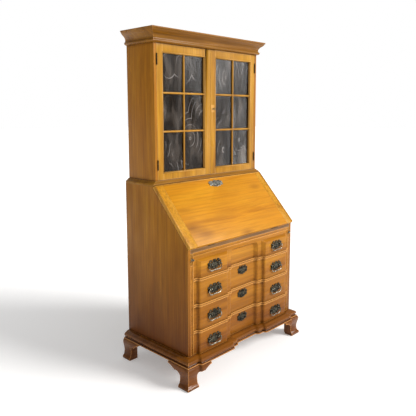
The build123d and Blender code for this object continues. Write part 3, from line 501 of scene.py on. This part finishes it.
for number in (1, 2, 3, 4):
    brass = bmesh.new()
    for side in ("left", "right"):
        pivot = pivots[f"drawer_{number}_bail_{side}"]
        on_face = Vector((pivot.x, block_face_y - PLATE_T * PLATE_SINK, pivot.z))
        add_copy(brass, pull_plate, Matrix.Translation(on_face) @ UPRIGHT)
        for post in (-POST_X, POST_X):
            add_turned(brass, (pivot.x + post, block_face_y - PLATE_T, pivot.z), POST_RINGS)
    if number > 1:
        opening_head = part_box(f"drawer_{number}_front")[1].z + DRAWER_GAP
        on_face = Vector((0, recess_y - PLATE_T * PLATE_SINK, opening_head - KEYHOLE_DROP))
        add_copy(brass, key_plate, Matrix.Translation(on_face) @ UPRIGHT)
    bmesh.ops.remove_doubles(brass, verts=brass.verts, dist=0.00001)
    bmesh.ops.recalc_face_normals(brass, faces=brass.faces)
    plates = new_piece(f"drawer_{number}_brasses", brass)
    plates.data.shade_smooth()
    plates.data.set_sharp_from_angle(angle=BRASS_CREASE)
    plates.data.materials.append(plate_brass)
    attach(plates, f"drawer_{number}")
    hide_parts(f"drawer_{number}_pull_plates")

    for side in ("left", "right"):
        name = f"drawer_{number}_bail_{side}"
        pivot = pivots[name]
        drawn = bpy.data.curves.new(name + "_line", "CURVE")
        drawn.dimensions = "3D"
        drawn.bevel_depth = BAIL_R
        drawn.bevel_resolution = 3
        drawn.resolution_u = 6
        drawn.use_fill_caps = True
        points = BAIL_PATH + [(-x, z) for x, z in reversed(BAIL_PATH[:-1])]
        swell = BAIL_SWELL + list(reversed(BAIL_SWELL[:-1]))
        spline = drawn.splines.new("BEZIER")
        spline.bezier_points.add(len(points) - 1)
        for knot, (x, z), thick in zip(spline.bezier_points, points, swell):
            knot.co = (pivot.x + x, pivot.y, pivot.z + z)
            knot.radius = thick
            knot.handle_left_type = knot.handle_right_type = "AUTO"
        shape = mesh_of(drawn)
        for end in (-BAIL_END_X, BAIL_END_X):
            flatter = Matrix.Scale(0.7, 4, (1, 0, 0))
            knob = Matrix.Translation((pivot.x + end, pivot.y, pivot.z)) @ flatter
            bmesh.ops.create_uvsphere(shape, u_segments=12, v_segments=8, radius=BAIL_KNOB_R, matrix=knob)
        bail = new_piece(name + "_cast", shape)
        bail.data.shade_smooth()
        bail.data.materials.append(bail_brass)
        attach(bail, name)
        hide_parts(name)

# ---- Fall lid --------------------------------------------------------------------------------
# A wide maple panel with breadboard ends, hinged at its foot. A thumbnail bead runs round the
# three outer edges, and a silvery pierced plate marks the lock at the middle of the top.

lid_maple = old_maple("lid_maple", "X", (0.40, 0.145, 0.003), (0.56, 0.226, 0.006), (0.62, 0.275, 0.010),
                      blotch=0.5, sheen=0.42, fine=0.6, knots=0.6, grime_and_shade=0.3, wear_and_glint=0.3)
end_maple = old_maple("end_maple", "Z", (0.32, 0.124, 0.006), (0.54, 0.240, 0.014), (0.62, 0.310, 0.032),
                      blotch=0.3, sheen=0.30, grime_and_shade=0.3, wear_and_glint=0.3)
planed("lid_panel", lid_maple, ease=0.0010)
planed("lid_breadboard_ends", end_maple, ease=0.0022, rounds=3)

LID_SLOPE = math.radians(47.2)
UP_LID = Vector((0, math.cos(LID_SLOPE), math.sin(LID_SLOPE)))
OFF_LID = Vector((0, -math.sin(LID_SLOPE), math.cos(LID_SLOPE)))
LID_LENGTH = 0.403
LID_T = 0.020
LIP_R = 0.0032
ESCUTCHEON_UP = 0.366
lid_foot = pivots["lid"] + OFF_LID * LID_T
lid_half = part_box("lid_breadboard_ends")[1].x

bead_shape = bmesh.new()
for side in (-1, 1):
    edge = Vector((side * (lid_half - LIP_R), 0, 0))
    add_bead(bead_shape, lid_foot + edge + UP_LID * LIP_R,
             lid_foot + edge + UP_LID * (LID_LENGTH - LIP_R), LIP_R)
lid_head = lid_foot + UP_LID * (LID_LENGTH - LIP_R)
to_corner = Vector((lid_half - LIP_R, 0, 0))
add_bead(bead_shape, lid_head - to_corner, lid_head + to_corner, LIP_R)
lid_lip = new_piece("lid_thumbnail_bead", bead_shape)
lid_lip.data.shade_smooth()
lid_lip.data.materials.append(end_maple)
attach(lid_lip, "lid")

lid_brass = old_brass("lid_brass", (0.10, 0.10, 0.085), (0.50, 0.50, 0.44), rough=0.26)
lid_plate = pierced_plate("lid_plate", 112, 46, keyhole=True)
lay_on_lid = Matrix((Vector((1, 0, 0)), UP_LID, OFF_LID)).transposed().to_4x4()
plate_place = lid_foot + UP_LID * (ESCUTCHEON_UP - LIP_R) + OFF_LID * PLATE_T * 0.6
brass = bmesh.new()
add_copy(brass, lid_plate, Matrix.Translation(plate_place) @ lay_on_lid)
lid_escutcheon = new_piece("lid_escutcheon", brass)
lid_escutcheon.data.shade_smooth()
lid_escutcheon.data.set_sharp_from_angle(angle=BRASS_CREASE)
lid_escutcheon.data.materials.append(lid_brass)
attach(lid_escutcheon, "lid")
finish_node("lid_escutcheon_and_lock", lid_brass)

# ---- Waist moulding, cornice and bookcase ----------------------------------------------------
# The waist moulding hides the joint between desk and bookcase. The cornice is built up of a
# cyma, a cove and a bead, mitred at the corners and nailed to the frieze.

planed("waist_moulding", cross_maple, ease=0.0008)
planed("cornice", cornice_maple_shaded, ease=0.0008)
planed("bookcase_sides", case_maple)
for board in ("bookcase_ends", "bookcase_shelves", "gallery_case", "gallery_drawer_left",
              "gallery_drawer_right"):
    finish_node(board, inner_maple)
finish_node("bookcase_back", back_boards)

# ---- Doors -----------------------------------------------------------------------------------
# Two tenoned frames, each glazed with six small panes between slender moulded bars.
# The wood is lighter than the case; the inner edges are moulded down to the glass.

door_maple = old_maple("door_maple", "Z", (0.27, 0.108, 0.005), (0.43, 0.200, 0.012), (0.50, 0.250, 0.022),
                       blotch=0.35, sheen=0.30, grime_and_shade=1.0, fine=0.8, wear_and_glint=0.6)
for side in ("left", "right"):
    planed(f"{side}_door_frame", door_maple, ease=0.0028, rounds=3)
    planed(f"{side}_door_muntins", door_maple, ease=0.0030, rounds=3)

old_glass, shader, tree, node = new_material("old_glass")
spot = node("TexCoord").outputs["Object"]
ripple = node("Mapping", {"Vector": spot, "Scale": (16.0, 4.0, 3.4)}).outputs["Vector"]
wave = node("TexNoise", {"Vector": ripple, "Scale": 1.0, "Detail": 4.0, "Distortion": 1.6})
bump = node("Bump", {"Height": wave.outputs["Fac"], "Strength": 0.12, "Distance": 0.004})
tree.links.new(bump.outputs["Normal"], shader.inputs["Normal"])
film = node("TexNoise", {"Vector": ripple, "Scale": 1.3, "Detail": 5.0})
haze = node("MapRange", {"Value": film.outputs["Fac"], "From Min": 0.3, "From Max": 0.75,
                         "To Min": 0.10, "To Max": 0.30})
tree.links.new(haze.outputs["Result"], shader.inputs["Roughness"])
# The pane's colour and cover are painted: a near-black film for the shade inside the case, paler tall
# streaks as painted reflection, thin light swirl rings as painted glints.
tall = node("Mapping", {"Vector": spot, "Scale": (13.0, 1.0, 5.0)}).outputs["Vector"]
streak_noise = node("TexNoise", {"Vector": tall, "Scale": 1.0, "Detail": 3.0, "Distortion": 0.6})
reflection_streaks = node("MapRange", {"Value": streak_noise.outputs["Fac"], "From Min": 0.46, "From Max": 0.68})
spread = node("Mapping", {"Vector": spot, "Scale": (1.0, 0.2, 0.8)}).outputs["Vector"]
eyes = node("TexVoronoi", {"Vector": spread, "Scale": 6.5, "Randomness": 1.0})
turned = node("Math", {0: eyes.outputs["Distance"], 1: 34.0}, operation="MULTIPLY")
bull = node("Math", {0: turned.outputs["Value"]}, operation="SINE")
crest = node("MapRange", {"Value": bull.outputs["Value"], "From Min": 0.90, "From Max": 1.0})
parts = node("TexNoise", {"Vector": spot, "Scale": 9.0, "Detail": 1.0})
seen = node("MapRange", {"Value": parts.outputs["Fac"], "From Min": 0.50, "From Max": 0.60})
swirl = node("Math", {0: crest.outputs["Result"], 1: seen.outputs["Result"]}, operation="MULTIPLY")
# Near-black painted shade mixed with paler painted reflection streaks, then light rings as painted glints
# on the swirls.
clear = node("MixRGB", {"Fac": reflection_streaks.outputs["Result"], "Color1": (0.010, 0.006, 0.003, 1),
                        "Color2": (0.070, 0.055, 0.044, 1)})
shaded_glinting_pane = node("MixRGB", {"Fac": swirl.outputs["Value"], "Color1": clear.outputs["Color"],
                           "Color2": (0.22, 0.20, 0.19, 1)})
tree.links.new(shaded_glinting_pane.outputs["Color"], shader.inputs["Base Color"])
cover = node("MapRange", {"Value": streak_noise.outputs["Fac"], "From Min": 0.40, "From Max": 0.68,
                          "To Min": 0.60, "To Max": 0.90})
tree.links.new(cover.outputs["Result"], shader.inputs["Alpha"])
shader.inputs["Specular IOR Level"].default_value = 0.3

PANE_T = 0.0024
SLOW_WAVE, QUICK_WAVE, RING_WAVE = 0.00085, 0.00008, 0.00007
SEEDS_PER_PANE = 5
SEED_R = 0.0013
STICKING_R = 0.0034
STICKING_OUT = 0.001


def blown_panes(node_name, body, seed):
    """Cuts a door's panes anew as old blown glass, and returns the corners of each pane's box.

    Each pane has slow waves, faint swirl rings and a few seeds, all set by the seed given.
    """
    packed = bmesh.new()
    packed.from_mesh(frame["nodes"][node_name].data)
    bmesh.ops.remove_doubles(packed, verts=packed.verts, dist=MERGE_GAP)
    waiting = set(packed.verts)
    rooms = []
    while waiting:
        group, to_visit = [], [waiting.pop()]
        while to_visit:
            corner = to_visit.pop()
            group.append(corner.co)
            others = {edge.other_vert(corner) for edge in corner.link_edges} & waiting
            waiting -= others
            to_visit.extend(others)
        rooms.append((tuple(map(min, zip(*group))), tuple(map(max, zip(*group)))))
    rooms.sort()
    packed.free()
    glass = bmesh.new()
    for index, (low, high) in enumerate(rooms):
        turn = seed + index * 7.3
        middle = (Vector(low) + Vector(high)) / 2
        size = Matrix.Diagonal(((high[0] - low[0]) / 2, (high[2] - low[2]) / 2, 1, 1))
        grid = bmesh.ops.create_grid(glass, x_segments=40, y_segments=46, size=1,
                                     matrix=Matrix.Translation(middle) @ UPRIGHT @ size)
        eye = middle + Vector((0.09 * math.sin(turn * 1.7), 0, 0.11 * math.cos(turn)))
        corners = set(grid["verts"])
        for corner in grid["verts"]:
            spot = corner.co
            away = (spot - eye).length
            slow = noise.noise(Vector((spot.x * 11, turn, spot.z * 6)))
            quick = noise.noise(Vector((spot.x * 34, turn + 5, spot.z * 12)))
            rings = math.sin(away * 420 + turn) * max(0.0, 1 - away * 9)
            corner.co.y += SLOW_WAVE * slow + QUICK_WAVE * quick + RING_WAVE * rings
        sheet = [face for face in glass.faces if face.verts[0] in corners]
        bmesh.ops.solidify(glass, geom=sheet, thickness=PANE_T)
        for seed_number in range(SEEDS_PER_PANE):
            across = math.sin(turn * (seed_number + 2) * 1.37) * (high[0] - low[0]) * 0.40
            up = math.cos(turn * (seed_number + 3) * 0.91) * (high[2] - low[2]) * 0.42
            place = Matrix.Translation((middle.x + across, middle.y - PANE_T * 0.45, middle.z + up))
            bmesh.ops.create_icosphere(glass, subdivisions=1, radius=SEED_R, matrix=place)
    bmesh.ops.recalc_face_normals(glass, faces=glass.faces)
    piece = new_piece(f"{body}_blown_panes", glass)
    piece.data.shade_smooth()
    piece.data.materials.append(old_glass)
    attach(piece, body)
    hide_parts(node_name)
    return rooms


for body, seed in (("left_door", 1.0), ("right_door", 40.0)):
    rooms = blown_panes(body + "_panes", body, seed)
    low = [min(room[0][axis] for room in rooms) for axis in range(3)]
    high = [max(room[1][axis] for room in rooms) for axis in range(3)]
    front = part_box(body + "_frame")[0].y + STICKING_R * 0.55
    left_x, right_x = low[0] - STICKING_OUT, high[0] + STICKING_OUT
    foot_z, head_z = low[2] - STICKING_OUT, high[2] + STICKING_OUT
    bead_shape = bmesh.new()
    for x in (left_x, right_x):
        add_bead(bead_shape, (x, front, foot_z), (x, front, head_z), STICKING_R)
    for z in (foot_z, head_z):
        add_bead(bead_shape, (left_x, front, z), (right_x, front, z), STICKING_R)
    sticking = new_piece(body + "_sticking", bead_shape)
    sticking.data.shade_smooth()
    sticking.data.materials.append(door_maple)
    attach(sticking, body)

# ---- Hinges, locks and knobs -----------------------------------------------------------------
# Butt hinges of bronzed brass show only their knuckles. The key, the bolts and the door lock
# are plain steel, and each loper has a small turned knob.

hinge_brass = old_brass("hinge_brass", (0.020, 0.013, 0.008), (0.09, 0.060, 0.035), rough=0.4)
lock_steel = old_brass("lock_steel", (0.05, 0.045, 0.04), (0.22, 0.20, 0.17), rough=0.34)
for name in ("door_hinge_posts", "lid_hinge_posts", "left_door_hinge_leaves",
             "right_door_hinge_leaves", "lid_hinge_leaves"):
    finish_node(name, hinge_brass)
for name in ("right_door_lock", "door_lock_bolt", "door_key", "lid_lock_bolt"):
    finish_node(name, lock_steel)
for side in ("left", "right"):
    planed(f"loper_{side}", cross_maple)
    finish_node(f"loper_{side}_knob", bail_brass)
